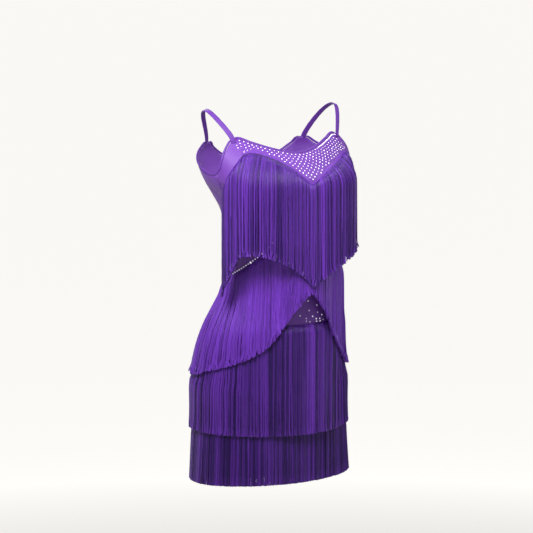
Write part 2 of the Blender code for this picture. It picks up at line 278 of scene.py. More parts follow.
def on_body(angle, z, lift):
    """Point that stands off the bare figure by a lift."""
    angle, z = np.broadcast_arrays(np.asarray(angle, float), np.asarray(z, float))
    return place(angle, z, figure_radius(angle, z) + lift)


def body_frame(angle, z):
    """Unit vectors on the figure: round it, up it, and out of it."""
    round_it = unit(on_body(angle + 0.4, z, 0.0) - on_body(angle - 0.4, z, 0.0))
    up_it = unit(on_body(angle, z + 0.001, 0.0) - on_body(angle, z - 0.001, 0.0))
    out = unit(np.cross(round_it, up_it))
    return round_it, np.cross(out, round_it), out


def crease_lift(angle, z):
    """Sum of Gaussians of the distance to each crease's run, fading out at its two ends."""
    lift = np.zeros(np.broadcast(angle, z).shape)
    for a0, z0, a1, z1, width, rise in CREASES:
        mid = 0.5 * (a0 + a1)
        near = (angle - mid + 180) % 360 - 180 + mid
        scale = math.radians(1) * BODY_ROUND
        px, py = (near - a0) * scale, z - z0
        dx, dy = (a1 - a0) * scale, z1 - z0
        size = dx * dx + dy * dy
        t = np.clip((px * dx + py * dy) / size, 0, 1)
        away = np.hypot(px - t * dx, py - t * dy)
        lift += rise * np.exp(-(away / width) ** 2) * (0.25 + 0.75 * np.sin(np.pi * t))
    return lift


def travelled(line):
    """Distance gone along a line of points, as the running sum of its steps."""
    return np.concatenate([[0], np.cumsum(np.linalg.norm(np.diff(line, axis=0), axis=1))])


def squarish(part, half, power):
    """One side of a flattened ring: a sine or cosine keeps its sign and is raised to a power
    under one, which squares the round off."""
    return half * np.sign(part) * np.abs(part) ** power


# ---------------------------------------------------------------- meshes
def put_mesh(name, points, faces, material, corners_uv=None, values=None, smooth_it=True):
    """A mesh from arrays: points (n, 3), faces (m, sides), a UV per face corner, and named
    numbers per point."""
    mesh = bpy.data.meshes.new(name)
    count, sides = faces.shape
    mesh.vertices.add(len(points))
    mesh.vertices.foreach_set("co", np.ascontiguousarray(points, np.float32).ravel())
    mesh.loops.add(count * sides)
    mesh.loops.foreach_set("vertex_index", np.ascontiguousarray(faces, np.int32).ravel())
    mesh.polygons.add(count)
    mesh.polygons.foreach_set("loop_start", np.arange(0, count * sides, sides, dtype=np.int32))
    mesh.update(calc_edges=True)
    if smooth_it:
        mesh.shade_smooth()
    if corners_uv is not None:
        layer = mesh.uv_layers.new(name="UVMap")
        layer.uv.foreach_set("vector", np.ascontiguousarray(corners_uv, np.float32).ravel())
    for key, value in (values or {}).items():
        mark = mesh.attributes.new(key, "FLOAT", "POINT")
        mark.data.foreach_set("value", np.ascontiguousarray(value, np.float32).ravel())
    mesh.materials.append(material)
    mesh.validate()
    thing = bpy.data.objects.new(name, mesh)
    bpy.context.scene.collection.objects.link(thing)
    return thing


def grid_faces(rows, cols, ring=False):
    """Four corners of each cell of a grid, facing out when rows run up and columns run left."""
    r, c = np.meshgrid(np.arange(rows - 1), np.arange(cols if ring else cols - 1), indexing="ij")
    a, b = r * cols + c, r * cols + (c + 1) % cols
    return np.stack([a, b, b + cols, a + cols], axis=-1).reshape(-1, 4)


SIDES = 4                 # faces round a cord, a stitch or a seam


def tubes(path, radius, out):
    """Many capped tubes at once. path is (n, k, 3), out a direction that no path runs along:
    each ring is a few points of a circle across the path, turned from `out`. Gives points and
    faces."""
    n, k, _ = path.shape
    way = np.gradient(path, axis=1)
    side = unit(np.cross(way, out))
    lift = unit(np.cross(side, way))
    turn = 2 * np.pi * (np.arange(SIDES) + 0.5) / SIDES
    ring = (path[:, :, None] + radius * (np.cos(turn)[:, None] * side[:, :, None]
                                         + np.sin(turn)[:, None] * lift[:, :, None]))
    i, j, s = np.meshgrid(np.arange(n), np.arange(k - 1), np.arange(SIDES), indexing="ij")
    a = (i * k + j) * SIDES + s
    b = (i * k + j) * SIDES + (s + 1) % SIDES
    faces = np.stack([a, a + SIDES, b + SIDES, b], axis=-1).reshape(-1, 4)
    first = np.arange(n)[:, None] * k * SIDES + np.arange(SIDES)
    last = (np.arange(n)[:, None] * k + k - 1) * SIDES + np.arange(SIDES)[::-1]
    return ring.reshape(-1, 3), np.concatenate([faces, first, last])


def chained(angle_z, step):
    """Points along a line of (angle, height) pairs, evenly spaced by real distance."""
    angle, z = np.array(angle_z, float).T
    fine = np.linspace(0, 1, 60 * (len(angle) - 1) + 1) * (len(angle) - 1)
    a, h = np.interp(fine, np.arange(len(angle)), angle), np.interp(fine, np.arange(len(z)), z)
    run = travelled(on_body(a, h, 0))
    count = max(2, int(round(run[-1] / step)) + 1)
    at = np.linspace(0, run[-1], count)
    return np.interp(at, run, a), np.interp(at, run, h), at


# ---------------------------------------------------------------- how the tiers hang
FINE_STEP, ROUND_STEP = 0.002, 2.0
FINE = np.arange(-0.800, -0.056, FINE_STEP)[::-1]         # heights from the top down
ROUND = np.arange(-180.0, 180.1, ROUND_STEP)              # angles of the hanging profiles
STATIONS = 25             # stations down a hanging profile
ABOVE = 0.004             # a tier's surface is worked out from this far above its heading
SEWN = 0.0003             # air under a heading where it is sewn down
MEAN = 11                 # samples in the running mean that rounds a profile


def hang(top, under):
    """Radius at each fine height and angle: the running maximum of what stands out above, and
    a slope that leads out to what is wider below."""
    hung = FINE[:, None] <= top[None, :] + ABOVE
    base = np.where(hung, under, 0.0)
    plumb = np.maximum.accumulate(base, axis=0)
    ahead = base.copy()
    for row in range(len(FINE) - 2, -1, -1):
        ahead[row] = np.maximum(ahead[row], ahead[row + 1] - SPREAD * FINE_STEP)
    return np.where(hung, np.maximum(plumb, ahead), under)


def drop(radius, top, length, under):
    """Height and radius at even steps of length down each profile. The radius is rounded by a
    running mean, drawn down to the cloth over a short stretch at the top, and kept off it."""
    share = np.linspace(0, 1, STATIONS)
    heights, radii = [], []
    for column, z0 in enumerate(top):
        z = np.concatenate([z0 - np.array([0, 0.0007, 0.0015]), FINE[FINE < z0 - 0.0022]])
        r = np.interp(-z, -FINE, radius[:, column])
        run = np.concatenate([[0], np.cumsum(np.hypot(np.diff(z), np.diff(r)))])
        heights.append(np.interp(share * length[column], run, z))
        cloth = np.interp(-z, -FINE, under[:, column])
        r = np.convolve(np.pad(r, MEAN // 2, mode="edge"), np.ones(MEAN) / MEAN, mode="valid")
        lift = max(r[0] - cloth[0] - SEWN, 0.0)
        tuck = lift * np.clip(1 - run / (0.0015 + 2.2 * lift), 0, 1) ** 2
        radii.append(np.interp(share * length[column], run, np.maximum(r - tuck, cloth + SEWN)))
    return np.array(heights), np.array(radii)


def all_profiles():
    """The tiers from the hem up, each lying on the ones below, then flared where they come out
    from under another by a smooth step that fades again."""
    under = figure_radius(ROUND[None, :], FINE[:, None]) + CLOTH
    found = {}
    for tier in TIERS:
        angle, z = np.array(tier.heading).T
        curved = tier.name == "peplum"
        top = smooth(angle, z, ROUND) if curved else np.interp(ROUND, angle, z)
        hung = hang(top, under + LAY)
        cut = np.interp(ROUND, *np.array(tier.lengths, float).T) + TAPE_TALL
        height, radius = drop(hung, top, cut, under)
        found[tier.name] = (height, radius)
        inside = (FINE[:, None] <= top) & (FINE[:, None] >= height[:, -1] - ABOVE)
        under = np.where(inside, hung + TIER_THICK + TIER_AIR, under)
    for name, cover, flare, fade in FLARES:
        height, radius = found[name]
        below = found[cover][0][:, -1:] - height
        rise = np.clip(below / 0.012, 0, 1)
        found[name] = (height, radius + flare * rise * rise * (3 - 2 * rise)
                       * np.clip(1.2 - below / fade, 0, 1))
    return found


PROFILES = all_profiles()


def profile_at(name, angle, share):
    """Height and radius at an angle and a share of the cord's length, between the stations."""
    height, radius = PROFILES[name]
    a = (angle - ROUND[0]) / (ROUND[1] - ROUND[0])
    i = np.clip(a.astype(int), 0, len(ROUND) - 2)
    u = a - i
    s = share * (STATIONS - 1)
    j = np.clip(s.astype(int), 0, STATIONS - 2)
    v = s - j
    mix = [(1 - u) * (1 - v), u * (1 - v), (1 - u) * v, u * v]
    at = [(i, j), (i + 1, j), (i, j + 1), (i + 1, j + 1)]
    return (sum(m * height[p] for m, p in zip(mix, at)),
            sum(m * radius[p] for m, p in zip(mix, at)))


def soft_noise(at, length, rng, seeds=9):
    """A smooth wander along a distance: sines of nearby wavelengths, in random phase."""
    waves = length * rng.uniform(0.6, 1.9, seeds)
    phase = rng.uniform(0, 2 * np.pi, seeds)
    return np.sin(at[..., None] * 2 * np.pi / waves + phase).sum(-1) / math.sqrt(seeds)


# ---------------------------------------------------------------- the cords
def clumps(at, sway, rng):
    """Uneven clumps along a row. For each cord: its place across its clump from -1 to 1, the
    clump's half width, and the clump's own draw inwards, reach out, lean and tint."""
    edges = np.cumsum(rng.uniform(*CLUMP_WIDE, int(at[-1] / CLUMP_WIDE[0]) + 4)) - 0.005
    which = np.searchsorted(edges, at)
    low, high = edges[which - 1], edges[which]
    middle, half = 0.5 * (low + high), 0.5 * (high - low)
    pull = rng.uniform(0.0, CLUMP_PULL, len(edges))[which] * min(1, sway) ** 2
    out = rng.normal(0, CLUMP_OUT, len(edges))[which]
    lean = rng.normal(0, CLUMP_LEAN, len(edges))[which] * sway
    tint = rng.normal(0, 1, len(edges))[which]
    return (at - middle) / half, half, pull, out, lean, tint


def loop_outline(stations):
    """A loop's course in three rows: the share of the length reached, the leg (-1 going down,
    1 coming up, and a half circle between them), and the dip of that half circle."""
    bend = np.radians([135, 90, 45])
    still = np.zeros(stations)
    share = np.concatenate([np.linspace(0, 1, stations), np.full(3, 1.0),
                            np.linspace(1, 0, stations)])
    leg = np.concatenate([still - 1, np.cos(bend), still + 1])
    dip = np.concatenate([still, np.sin(bend), still])
    return share[None, :], leg[None, :], dip[None, :]


def cord_row(tier, row, rows, rng):
    """One row of a tier's loops: points, outward directions, and a tint that holds painted light
    and shade besides a random part. A cord's sideways shift is its lean by a power of the share,
    less its clump's draw, plus a bend and a wave by sines of the share, plus the curl of its end.
    Its depth is its row's, plus its clump's bulge, plus the curl. The two legs stand either side
    of that and turn slowly about it."""
    angle, _, at = chained(tier.heading, 2 * SPACING)
    step = at[1] - at[0]
    at = at[:-1] + step * row / rows
    angle = np.interp(at, np.append(at - step * row / rows, at[-1] + step), angle)
    n = len(angle)
    off, half, pull, clump_out, clump_lean, clump_tint = clumps(at, tier.sway, rng)
    length = np.interp(angle, *np.array(tier.lengths, float).T)[:, None] + TAPE_TALL
    first = tier.start / length
    share, leg, dip = loop_outline(tier.stations)
    share = first + (1 - first) * share

    wild = rng.random(n) < tier.stray
    lean = rng.normal(0, CORD_LEAN, n) * tier.sway + clump_lean
    lean = lean + np.where(wild, rng.normal(0, STRAY_LEAN, n), 0) * tier.sway
    lean = lean + SLOW_LEAN * tier.sway * soft_noise(at, SLOW_WAVE, rng)
    bend = rng.normal(0, CORD_BEND, n) * tier.sway
    wave = rng.uniform(*WAVE_LONG, n)
    phase = rng.uniform(0, 2 * np.pi, n)
    size = rng.uniform(*WAVE_WIDE, n) * tier.sway
    shift = (lean[:, None] * share ** 1.4
             - (off * half * pull)[:, None] * np.minimum(1, share * 3)
             + bend[:, None] * np.sin(np.pi * share * 1.5)
             + size[:, None] * np.sqrt(share)
             * np.sin(share * length / wave[:, None] * 2 * np.pi + phase[:, None]))
    fade = np.clip((share - first) * 12, 0, 1)
    end = np.clip((share - CURL_FROM) / (1 - CURL_FROM), 0, 1) ** 2
    shift = shift + end * rng.normal(0, CURL_SIDE, n)[:, None] * tier.curl
    depth = ((ROW_LIFT + (row + ROWS - rows) * ROW_APART) * fade + TOP_LIFT * (1 - fade)
             + (CLUMP_BULGE * (1 - off ** 2) + clump_out + np.where(wild, STRAY_OUT, 0))[:, None]
             * fade * (0.4 + 0.6 * share)
             + end * np.abs(rng.normal(0, CURL_OUT, n))[:, None] * tier.curl)

    trimmed = rng.normal(0, 0.003 + 0.002 * tier.curl, n)
    cut = 1 + trimmed - np.where(rng.random(n) < 0.03, rng.uniform(0, 0.02, n), 0)
    used = np.clip(share * cut[:, None], 0, 1)
    girth = rng.uniform(0.9, 1.1, n)
    gap = (0.5 * SPACING * girth)[:, None] * (1 - 0.12 * share)
    twist = (rng.uniform(-0.35, 0.35, n)[:, None]
             + rng.normal(0, 0.45, n)[:, None] * share)
    across = leg * gap * np.cos(twist) + shift
    out = leg * gap * np.sin(twist) * np.clip(share * 5, 0, 1) * 0.7
    _, reach = profile_at(tier.name, np.repeat(angle[:, None], share.shape[1], 1), used)
    turned = np.clip(angle[:, None] + np.degrees(across / reach), -179.99, 179.99)
    z, r = profile_at(tier.name, turned, used)
    z = z - dip * gap
    spin = np.radians(turned)
    outward = np.stack([np.sin(spin), -np.cos(spin), 0 * spin], axis=-1)
    # The tint: the tier's painted light, painted shade on the inner rows where they lie behind
    # the outer one, a random part per cord and per clump, and at the return a painted highlight
    # that lightens the looped end.
    tone = (tier.tone + 0.2 + 0.7 * (row + 1 - rows) + 0.75 * rng.normal(0, 1, n)
            + 0.35 * clump_tint)
    return place(turned, z, r + depth + out), outward, tone[:, None] + 0.8 * end


def fringe_piece(tier, seed):
    """A tier's cords as one mesh, with a tint per cord that holds painted shade and a painted
    highlight at the looped end, and a UV that counts turns round the cord and metres along it."""
    rng = np.random.default_rng(seed)
    rows = ROWS + (tier.name == "hem")
    found = [cord_row(tier, row, rows, rng) for row in range(rows)]
    path, out, tint = (np.concatenate(part) for part in zip(*found))
    n, k, _ = path.shape
    points, faces = tubes(path, CORD, out)
    i, j, s = np.meshgrid(np.arange(n), np.arange(k - 1), np.arange(SIDES), indexing="ij")
    gone = np.concatenate([np.zeros((n, 1)), np.cumsum(
        np.linalg.norm(np.diff(path, axis=1), axis=2), axis=1)], axis=1)
    u0, u1 = s / SIDES, (s + 1) / SIDES
    v0, v1 = gone[i, j], gone[i, j + 1]
    uv = np.stack([np.stack([u0, v0], -1), np.stack([u0, v1], -1),
                   np.stack([u1, v1], -1), np.stack([u1, v0], -1)], axis=-2)
    uv = np.concatenate([uv.reshape(-1, 4, 2), np.zeros((2 * n, 4, 2))])
    return put_mesh(tier.name + "_fringe_cords", points, faces, FRINGE_MAT, uv,
                    {"tint": np.repeat(tint.reshape(-1), SIDES)})


# ---------------------------------------------------------------- materials
def group(name, inputs, outputs):
    """An empty node group with named sockets. Gives it with its input and output nodes."""
    made = bpy.data.node_groups.new(name, "ShaderNodeTree")
    for label, kind, value in inputs:
        socket = made.interface.new_socket(label, in_out="INPUT", socket_type=kind)
        if value is not None:
            socket.default_value = value
    for label, kind in outputs:
        made.interface.new_socket(label, in_out="OUTPUT", socket_type=kind)
    return made, made.nodes.new("NodeGroupInput"), made.nodes.new("NodeGroupOutput")


def math_node(tree, kind, a, b=None, clamp=False):
    """A math node fed by sockets or plain numbers. Gives its output."""
    node = tree.nodes.new("ShaderNodeMath")
    node.operation = kind
    node.use_clamp = clamp
    for socket, value in zip(node.inputs, (a, b)):
        if isinstance(value, (int, float)):
            socket.default_value = value
        elif value is not None:
            tree.links.new(value, socket)
    return node.outputs[0]


def noise_node(tree, vector, scale, detail=2.0, rough=0.5):
    """Noise over a vector, `scale` blotches to the metre. Gives its grey value."""
    node = tree.nodes.new("ShaderNodeTexNoise")
    node.inputs["Scale"].default_value = scale
    node.inputs["Detail"].default_value = detail
    node.inputs["Roughness"].default_value = rough
    tree.links.new(vector, node.inputs["Vector"])
    return node.outputs["Fac"]


def dye_group():
    """Uneven dye: soft blotches and finer ones lighten and darken a colour, and a number per
    thread moves it further; on the fringe cords that number also carries painted light and shade."""
    made, source, sink = group(
        "Uneven dye",
        [("Position", "NodeSocketVector", None), ("Thread", "NodeSocketFloat", 0.0),
         ("Dark", "NodeSocketColor", (0.05, 0.01, 0.2, 1)),
         ("Light", "NodeSocketColor", (0.2, 0.06, 0.5, 1)),
         ("Thread share", "NodeSocketFloat", 0.18), ("Blotch share", "NodeSocketFloat", 0.5)],
        [("Color", "NodeSocketColor"), ("Mask", "NodeSocketFloat")])
    position = source.outputs["Position"]
    broad = noise_node(made, position, 14.0, 2.0)
    fine = noise_node(made, position, 90.0, 3.0, 0.6)
    mixed = math_node(made, "ADD", math_node(made, "MULTIPLY", broad, 0.65),
                      math_node(made, "MULTIPLY", fine, 0.35))
    blotch = math_node(made, "MULTIPLY", math_node(made, "SUBTRACT", mixed, 0.5),
                       source.outputs["Blotch share"])
    thread = math_node(made, "MULTIPLY", source.outputs["Thread"], source.outputs["Thread share"])
    mask = math_node(made, "ADD", math_node(made, "ADD", 0.5, blotch), thread, clamp=True)
    mix = made.nodes.new("ShaderNodeMix")
    mix.data_type = "RGBA"
    made.links.new(mask, mix.inputs["Factor"])
    made.links.new(source.outputs["Dark"], mix.inputs["A"])
    made.links.new(source.outputs["Light"], mix.inputs["B"])
    made.links.new(mix.outputs["Result"], sink.inputs["Color"])
    made.links.new(mask, sink.inputs["Mask"])
    return made


def ply_group():
    """A knitted or twisted thread: slanting bars that repeat along V and lean with U, with a
    fine fuzz over them."""
    made, source, sink = group(
        "Thread twist",
        [("UV", "NodeSocketVector", None), ("Pitch", "NodeSocketFloat", 0.0016),
         ("Lean", "NodeSocketFloat", 1.0), ("Position", "NodeSocketVector", None)],
        [("Height", "NodeSocketFloat"), ("Groove", "NodeSocketFloat")])
    split = made.nodes.new("ShaderNodeSeparateXYZ")
    made.links.new(source.outputs["UV"], split.inputs[0])
    along = math_node(made, "DIVIDE", split.outputs["Y"], source.outputs["Pitch"])
    slant = math_node(made, "ADD", along,
                      math_node(made, "MULTIPLY", split.outputs["X"], source.outputs["Lean"]))
    bar = math_node(made, "SINE", math_node(made, "MULTIPLY", slant, 2 * math.pi))
    fuzz = noise_node(made, source.outputs["Position"], 1800.0, 2.0, 0.6)
    high = math_node(made, "ADD", math_node(made, "MULTIPLY", bar, 0.4),
                     math_node(made, "MULTIPLY", fuzz, 0.5))
    made.links.new(high, sink.inputs["Height"])
    made.links.new(math_node(made, "MULTIPLY", math_node(made, "ADD", bar, 1.0), 0.5),
                   sink.inputs["Groove"])
    return made


def knit_group():
    """Fine stretch knit: columns of slanted stitches from two crossed sine bands, on a UV in
    metres, with faint unevenness."""
    made, source, sink = group(
        "Stretch knit",
        [("UV", "NodeSocketVector", None), ("Stitch", "NodeSocketFloat", 0.0007),
         ("Position", "NodeSocketVector", None)],
        [("Height", "NodeSocketFloat"), ("Sheen mask", "NodeSocketFloat")])
    split = made.nodes.new("ShaderNodeSeparateXYZ")
    made.links.new(source.outputs["UV"], split.inputs[0])
    u = math_node(made, "DIVIDE", split.outputs["X"], source.outputs["Stitch"])
    v = math_node(made, "DIVIDE", split.outputs["Y"], source.outputs["Stitch"])
    fold = math_node(made, "PINGPONG", u, 0.5)
    slanted = math_node(made, "ADD", math_node(made, "MULTIPLY", v, 0.75),
                        math_node(made, "MULTIPLY", fold, 1.2))
    loops = math_node(made, "SINE", math_node(made, "MULTIPLY", slanted, 2 * math.pi))
    wale = math_node(made, "SINE", math_node(made, "MULTIPLY", fold, 2 * math.pi))
    uneven = noise_node(made, source.outputs["Position"], 260.0, 3.0)
    high = math_node(made, "ADD", math_node(made, "MULTIPLY", loops, 0.35),
                     math_node(made, "MULTIPLY", wale, 0.45))
    high = math_node(made, "ADD", high, math_node(made, "MULTIPLY", uneven, 0.6))
    made.links.new(high, sink.inputs["Height"])
    made.links.new(uneven, sink.inputs["Sheen mask"])
    return made


DYE, PLY, KNIT = dye_group(), ply_group(), knit_group()


def dyed(name, dark, light, thread_share, blotch, per_thread):
    """A new material coloured by the dye group, with a number per thread if the piece has one.
    Gives it with its node tree, its shader, its coordinates and the colour."""
    made = bpy.data.materials.new(name)
    made.use_nodes = True
    tree = made.node_tree
    shader = tree.nodes["Principled BSDF"]
    where = tree.nodes.new("ShaderNodeTexCoord")
    dye = tree.nodes.new("ShaderNodeGroup")
    dye.node_tree = DYE
    dye.inputs["Dark"].default_value = (*dark, 1)
    dye.inputs["Light"].default_value = (*light, 1)
    dye.inputs["Thread share"].default_value = thread_share
    dye.inputs["Blotch share"].default_value = blotch
    tree.links.new(where.outputs["Object"], dye.inputs["Position"])
    if per_thread:
        # The tint attribute read here carries painted light and shade on the fringe cords.
        mark = tree.nodes.new("ShaderNodeAttribute")
        mark.attribute_name = "tint"
        tree.links.new(mark.outputs["Fac"], dye.inputs["Thread"])
    tree.links.new(dye.outputs["Color"], shader.inputs["Base Color"])
    return made, tree, shader, where, dye.outputs["Color"]


def material(name, dark, light, rough, height, pitch, bump, strength, thread_share=0.18,
             blotch=0.5, lean=1.0, specular=0.5, sheen=0.0, sheen_tint=None, per_thread=False):
    """A cloth or thread finish: the dye group for its colour, and the knit or the twist group
    for its relief."""
    made, tree, shader, where, _ = dyed(name, dark, light, thread_share, blotch, per_thread)
    relief = tree.nodes.new("ShaderNodeGroup")
    relief.node_tree = height
    tree.links.new(where.outputs["UV"], relief.inputs["UV"])
    tree.links.new(where.outputs["Object"], relief.inputs["Position"])
    if height is KNIT:
        relief.inputs["Stitch"].default_value = pitch
    else:
        relief.inputs["Pitch"].default_value = pitch
        relief.inputs["Lean"].default_value = lean
    raised = tree.nodes.new("ShaderNodeBump")
    raised.inputs["Strength"].default_value = strength
    raised.inputs["Distance"].default_value = bump
    tree.links.new(relief.outputs["Height"], raised.inputs["Height"])
    tree.links.new(raised.outputs["Normal"], shader.inputs["Normal"])
    shader.inputs["Roughness"].default_value = rough
    shader.inputs["Specular IOR Level"].default_value = specular
    shader.inputs["Sheen Weight"].default_value = sheen
    if sheen_tint:
        shader.inputs["Sheen Tint"].default_value = (*sheen_tint, 1)
        shader.inputs["Sheen Roughness"].default_value = 0.35
    return made


# Its tint, read per thread, carries painted shade and a painted highlight as well as a random
# part.
FRINGE_MAT = material("Rayon fringe cord", (0.022, 0.0030, 0.092), (0.150, 0.033, 0.450), 0.40,
                      thread_share=0.23, blotch=0.4, height=PLY, pitch=0.0022, bump=0.00025,
                      strength=0.5, specular=0.32, sheen=0.04, sheen_tint=(0.6, 0.35, 1.0),
                      per_thread=True)
CLOTH_MAT = material("Purple stretch knit", (0.085, 0.020, 0.230), (0.150, 0.042, 0.350), 0.50,
                     blotch=0.5, height=KNIT, pitch=0.0009, bump=0.00018, strength=0.5,
                     specular=0.35, sheen=0.15, sheen_tint=(0.85, 0.7, 1.0))
EDGE_MAT = material("Turned knit edge", (0.070, 0.016, 0.200), (0.125, 0.034, 0.310), 0.52,
                    blotch=0.4, height=KNIT, pitch=0.0009, bump=0.00006, strength=0.3,
                    specular=0.3, sheen=0.12, sheen_tint=(0.85, 0.7, 1.0))
HEADING_MAT = material("Woven fringe heading", (0.085, 0.019, 0.250), (0.160, 0.044, 0.400),
                       0.5, blotch=0.6, height=PLY, pitch=0.0018, bump=0.0003, lean=0.0,
                       strength=0.7, specular=0.3, sheen=0.06, sheen_tint=(0.7, 0.45, 1.0))
THREAD_MAT = material("Sewing thread", (0.055, 0.013, 0.170), (0.120, 0.032, 0.310), 0.6,
                      height=PLY, pitch=0.0006, bump=0.00008, strength=0.5, specular=0.1)


def crystal():
    """Foil-backed cut glass: pale, bright and coated, with a painted glow that stands in for the
    light the stones catch, and a little colour from one stone to the next."""
    made, tree, shader, _, colour = dyed("Foil-backed crystal with painted glow", (0.80, 0.74, 0.90),
                                         (1.0, 0.98, 1.0), 0.18, 1.6, True)
    # Painted light: the emission makes the stones glow though they are no lamp.
    tree.links.new(colour, shader.inputs["Emission Color"])
    for socket, value in (("Emission Strength", 0.44), ("Metallic", 0.25), ("Roughness", 0.12),
                          ("Coat Weight", 0.6), ("Coat Roughness", 0.03)):
        shader.inputs[socket].default_value = value
    return made


CRYSTAL_MAT = crystal()


# ---------------------------------------------------------------- the cloth body
def thicken(thing, thickness):
    """Gives a sheet its thickness, outwards."""
    thick = thing.modifiers.new("thickness", "SOLIDIFY")
    thick.thickness, thick.offset = thickness, 1.0
    return thing


def panel_piece(name, edge, columns, rows):
    """A panel: rows of points from the hem up to the top edge, the top rows fanning to follow
    the edge, lifted by the creases, then given its thickness."""
    angle, top = np.array(edge).T
    span = np.linalg.norm(np.diff(on_body(angle, top, 0.0), axis=0), axis=1)
    parts = np.maximum(1, np.round(span / span.sum() * columns)).astype(int)
    at = np.concatenate([i + np.arange(k) / k for i, k in enumerate(parts)] + [[len(parts)]])
    a = np.interp(at, np.arange(len(angle)), angle)
    h = np.interp(at, np.arange(len(angle)), top)
    z = HEM_Z + (h - HEM_Z) * np.linspace(0, 1, rows)[:, None] ** 0.85
    lift = crease_lift(a[None, :], z) * np.clip((h - z) / 0.006, 0, 1)
    points = on_body(a[None, :] + 0 * z, z, lift + 0.0001)
    faces = grid_faces(rows, len(a))
    uv = np.stack([np.radians(a[None, :] + 0 * z) * KNIT_ROUND, z], axis=-1)
    thing = put_mesh(name + "_cloth", points.reshape(-1, 3), faces, CLOTH_MAT,
                     uv.reshape(-1, 2)[faces])
    return thicken(thing, CLOTH - 0.0002)


def mirrored(edge):
    """An edge given from the centre front to the left, with its mirror image before it."""
    return tuple((-a, z) for a, z in reversed(edge) if a > 0) + tuple(edge)


def whole_back(edge):
    """An edge given up to the centre back, with its mirror image after it."""
    return tuple(edge) + tuple((360 - a, z) for a, z in reversed(edge) if a < 180)


def band_piece(name, ring, run, girth):
    """A closed band from its rings of points (k, sides, xyz), with a UV in metres round it and
    along it, and a cap at each end."""
    k, s = ring.shape[:2]
    i, j = np.meshgrid(np.arange(k - 1), np.arange(s), indexing="ij")
    p, q = i * s + j, i * s + (j + 1) % s
    faces = np.stack([p, p + s, q + s, q], axis=-1).reshape(-1, 4)
    v = np.stack([run[i], run[i + 1], run[i + 1], run[i]], axis=-1).reshape(-1, 4)
    u = (np.stack([j, j, j + 1, j + 1], axis=-1) / s * girth).reshape(-1, 4)
    thing = put_mesh(name, ring.reshape(-1, 3), faces, EDGE_MAT, np.stack([u, v], axis=-1))
    capped = bmesh.new()
    capped.from_mesh(thing.data)
    capped.verts.ensure_lookup_table()
    capped.faces.new([capped.verts[i] for i in range(s)])
    capped.faces.new([capped.verts[(k - 1) * s + i] for i in reversed(range(s))])
    bmesh.ops.recalc_face_normals(capped, faces=capped.faces)
    capped.to_mesh(thing.data)
    capped.free()
    return thing


def edge_piece(name, edge):
    """A turned edge: a squared-off ring carried along the panel's top edge, tapered at both
    ends, a little uneven where the stitches draw it in."""
    a, h, run = chained(edge, 0.0015)
    line = on_body(a, h, CLOTH / 2)
    way = unit(np.gradient(line, axis=0))
    _, _, out = body_frame(a, h)
    across = unit(np.cross(out, way))
    taper = np.clip(np.minimum(run, run[-1] - run) / 0.007, 0.12, 1) ** 0.6
    line = line + across * (BINDING_TALL / 2 * taper + 0.0005)[:, None]
    turn = np.linspace(0, 2 * np.pi, 12, endpoint=False)
    drawn = 1 - 0.10 * np.abs(np.sin(run * np.pi / 0.0028)) ** 4
    wide = squarish(np.cos(turn), BINDING_TALL / 2, 0.6)
    tall = squarish(np.sin(turn), BINDING_THICK / 2, 0.8)
    ring = (line[:, None] + across[:, None] * (wide[None, :] * taper[:, None])[..., None]
            + out[:, None] * (tall[None, :] * drawn[:, None])[..., None])
    thing = band_piece(name + "_edge", ring, run, BINDING_ROUND)
    return thing, stitch_row(name, line - across * 0.0012, out * BINDING_THICK * 0.5)


def stitch_row(name, line, lift):
    """Short stitches along a line, each a small bowed thread that dips in at both ends."""
    run = travelled(line)
    starts = np.arange(0.0012, run[-1] - 0.003, 0.0029)
    t = np.linspace(0, 1, 6)
    at = starts[:, None] + t[None, :] * 0.0021
    path = np.stack([np.interp(at, run, line[:, k]) for k in range(3)], axis=-1)
    rise = np.stack([np.interp(at, run, lift[:, k]) for k in range(3)], axis=-1)
    bow = (0.82 + 0.42 * np.sin(np.pi * t))[None, :, None]
    points, faces = tubes(path + rise * bow, 0.00022, unit(rise))
    return put_mesh(name + "_stitches", points, faces, THREAD_MAT,
                    np.zeros((len(faces), 4, 2)))


def seam_piece(name, angle):
    """The pressed ridge of a side seam, from just under the armhole to the hem, wandering a
    little by a sine of the height."""
    z = np.linspace(SEAM_TOP, HEM_Z + 0.002, 160)
    _, _, out = body_frame(np.full(len(z), angle), z)
    wander = 0.08 * np.sin(z * 2 * np.pi / 0.011)
    path = on_body(angle + wander, z, CLOTH + 0.0001)
    points, faces = tubes(path[None], 0.0009, out[None])
    return put_mesh(name, points, faces, EDGE_MAT, np.zeros((len(faces), 4, 2)))


def strap_piece(name, sign):
    """A strap: a squared-off ring carried along its line, whose stations are joined by smooth
    curves and then evened out, with a row of stitches near each edge."""
    station = np.array(STRAP_LINE)
    share = np.linspace(0, len(station) - 1, 90)
    row = np.stack([smooth(np.arange(len(station)), station[:, k], share) for k in range(6)], 1)
    for _ in range(60):
        row[1:-1] = 0.25 * row[:-2] + 0.5 * row[1:-1] + 0.25 * row[2:]
    flip = np.array([sign, 1.0, 1.0])
    line, face = row[:, :3] * flip, unit(row[:, 3:] * flip)
    way = unit(np.gradient(line, axis=0))
    across = unit(np.cross(face, way))
    face = unit(np.cross(way, across))
    run = travelled(line)
    turn = np.linspace(0, 2 * np.pi, 20, endpoint=False)
    wide = squarish(np.cos(turn), STRAP_WIDE / 2, 0.5)
    tall = squarish(np.sin(turn), STRAP_THICK / 2, 0.7)
    ripple = 1 + 0.015 * np.sin(run * 2 * np.pi / 0.019)
    ring = (line[:, None] + across[:, None] * (wide[None, :] * ripple[:, None])[..., None]
            + face[:, None] * tall[None, :, None])
    thing = band_piece(name + "_band", ring, run, STRAP_ROUND)
    rows = [stitch_row(name + side, line + across * off, face * STRAP_THICK * 0.5)
            for side, off in (("_inner", -0.0041), ("_outer", 0.0041))]
    return thing, rows


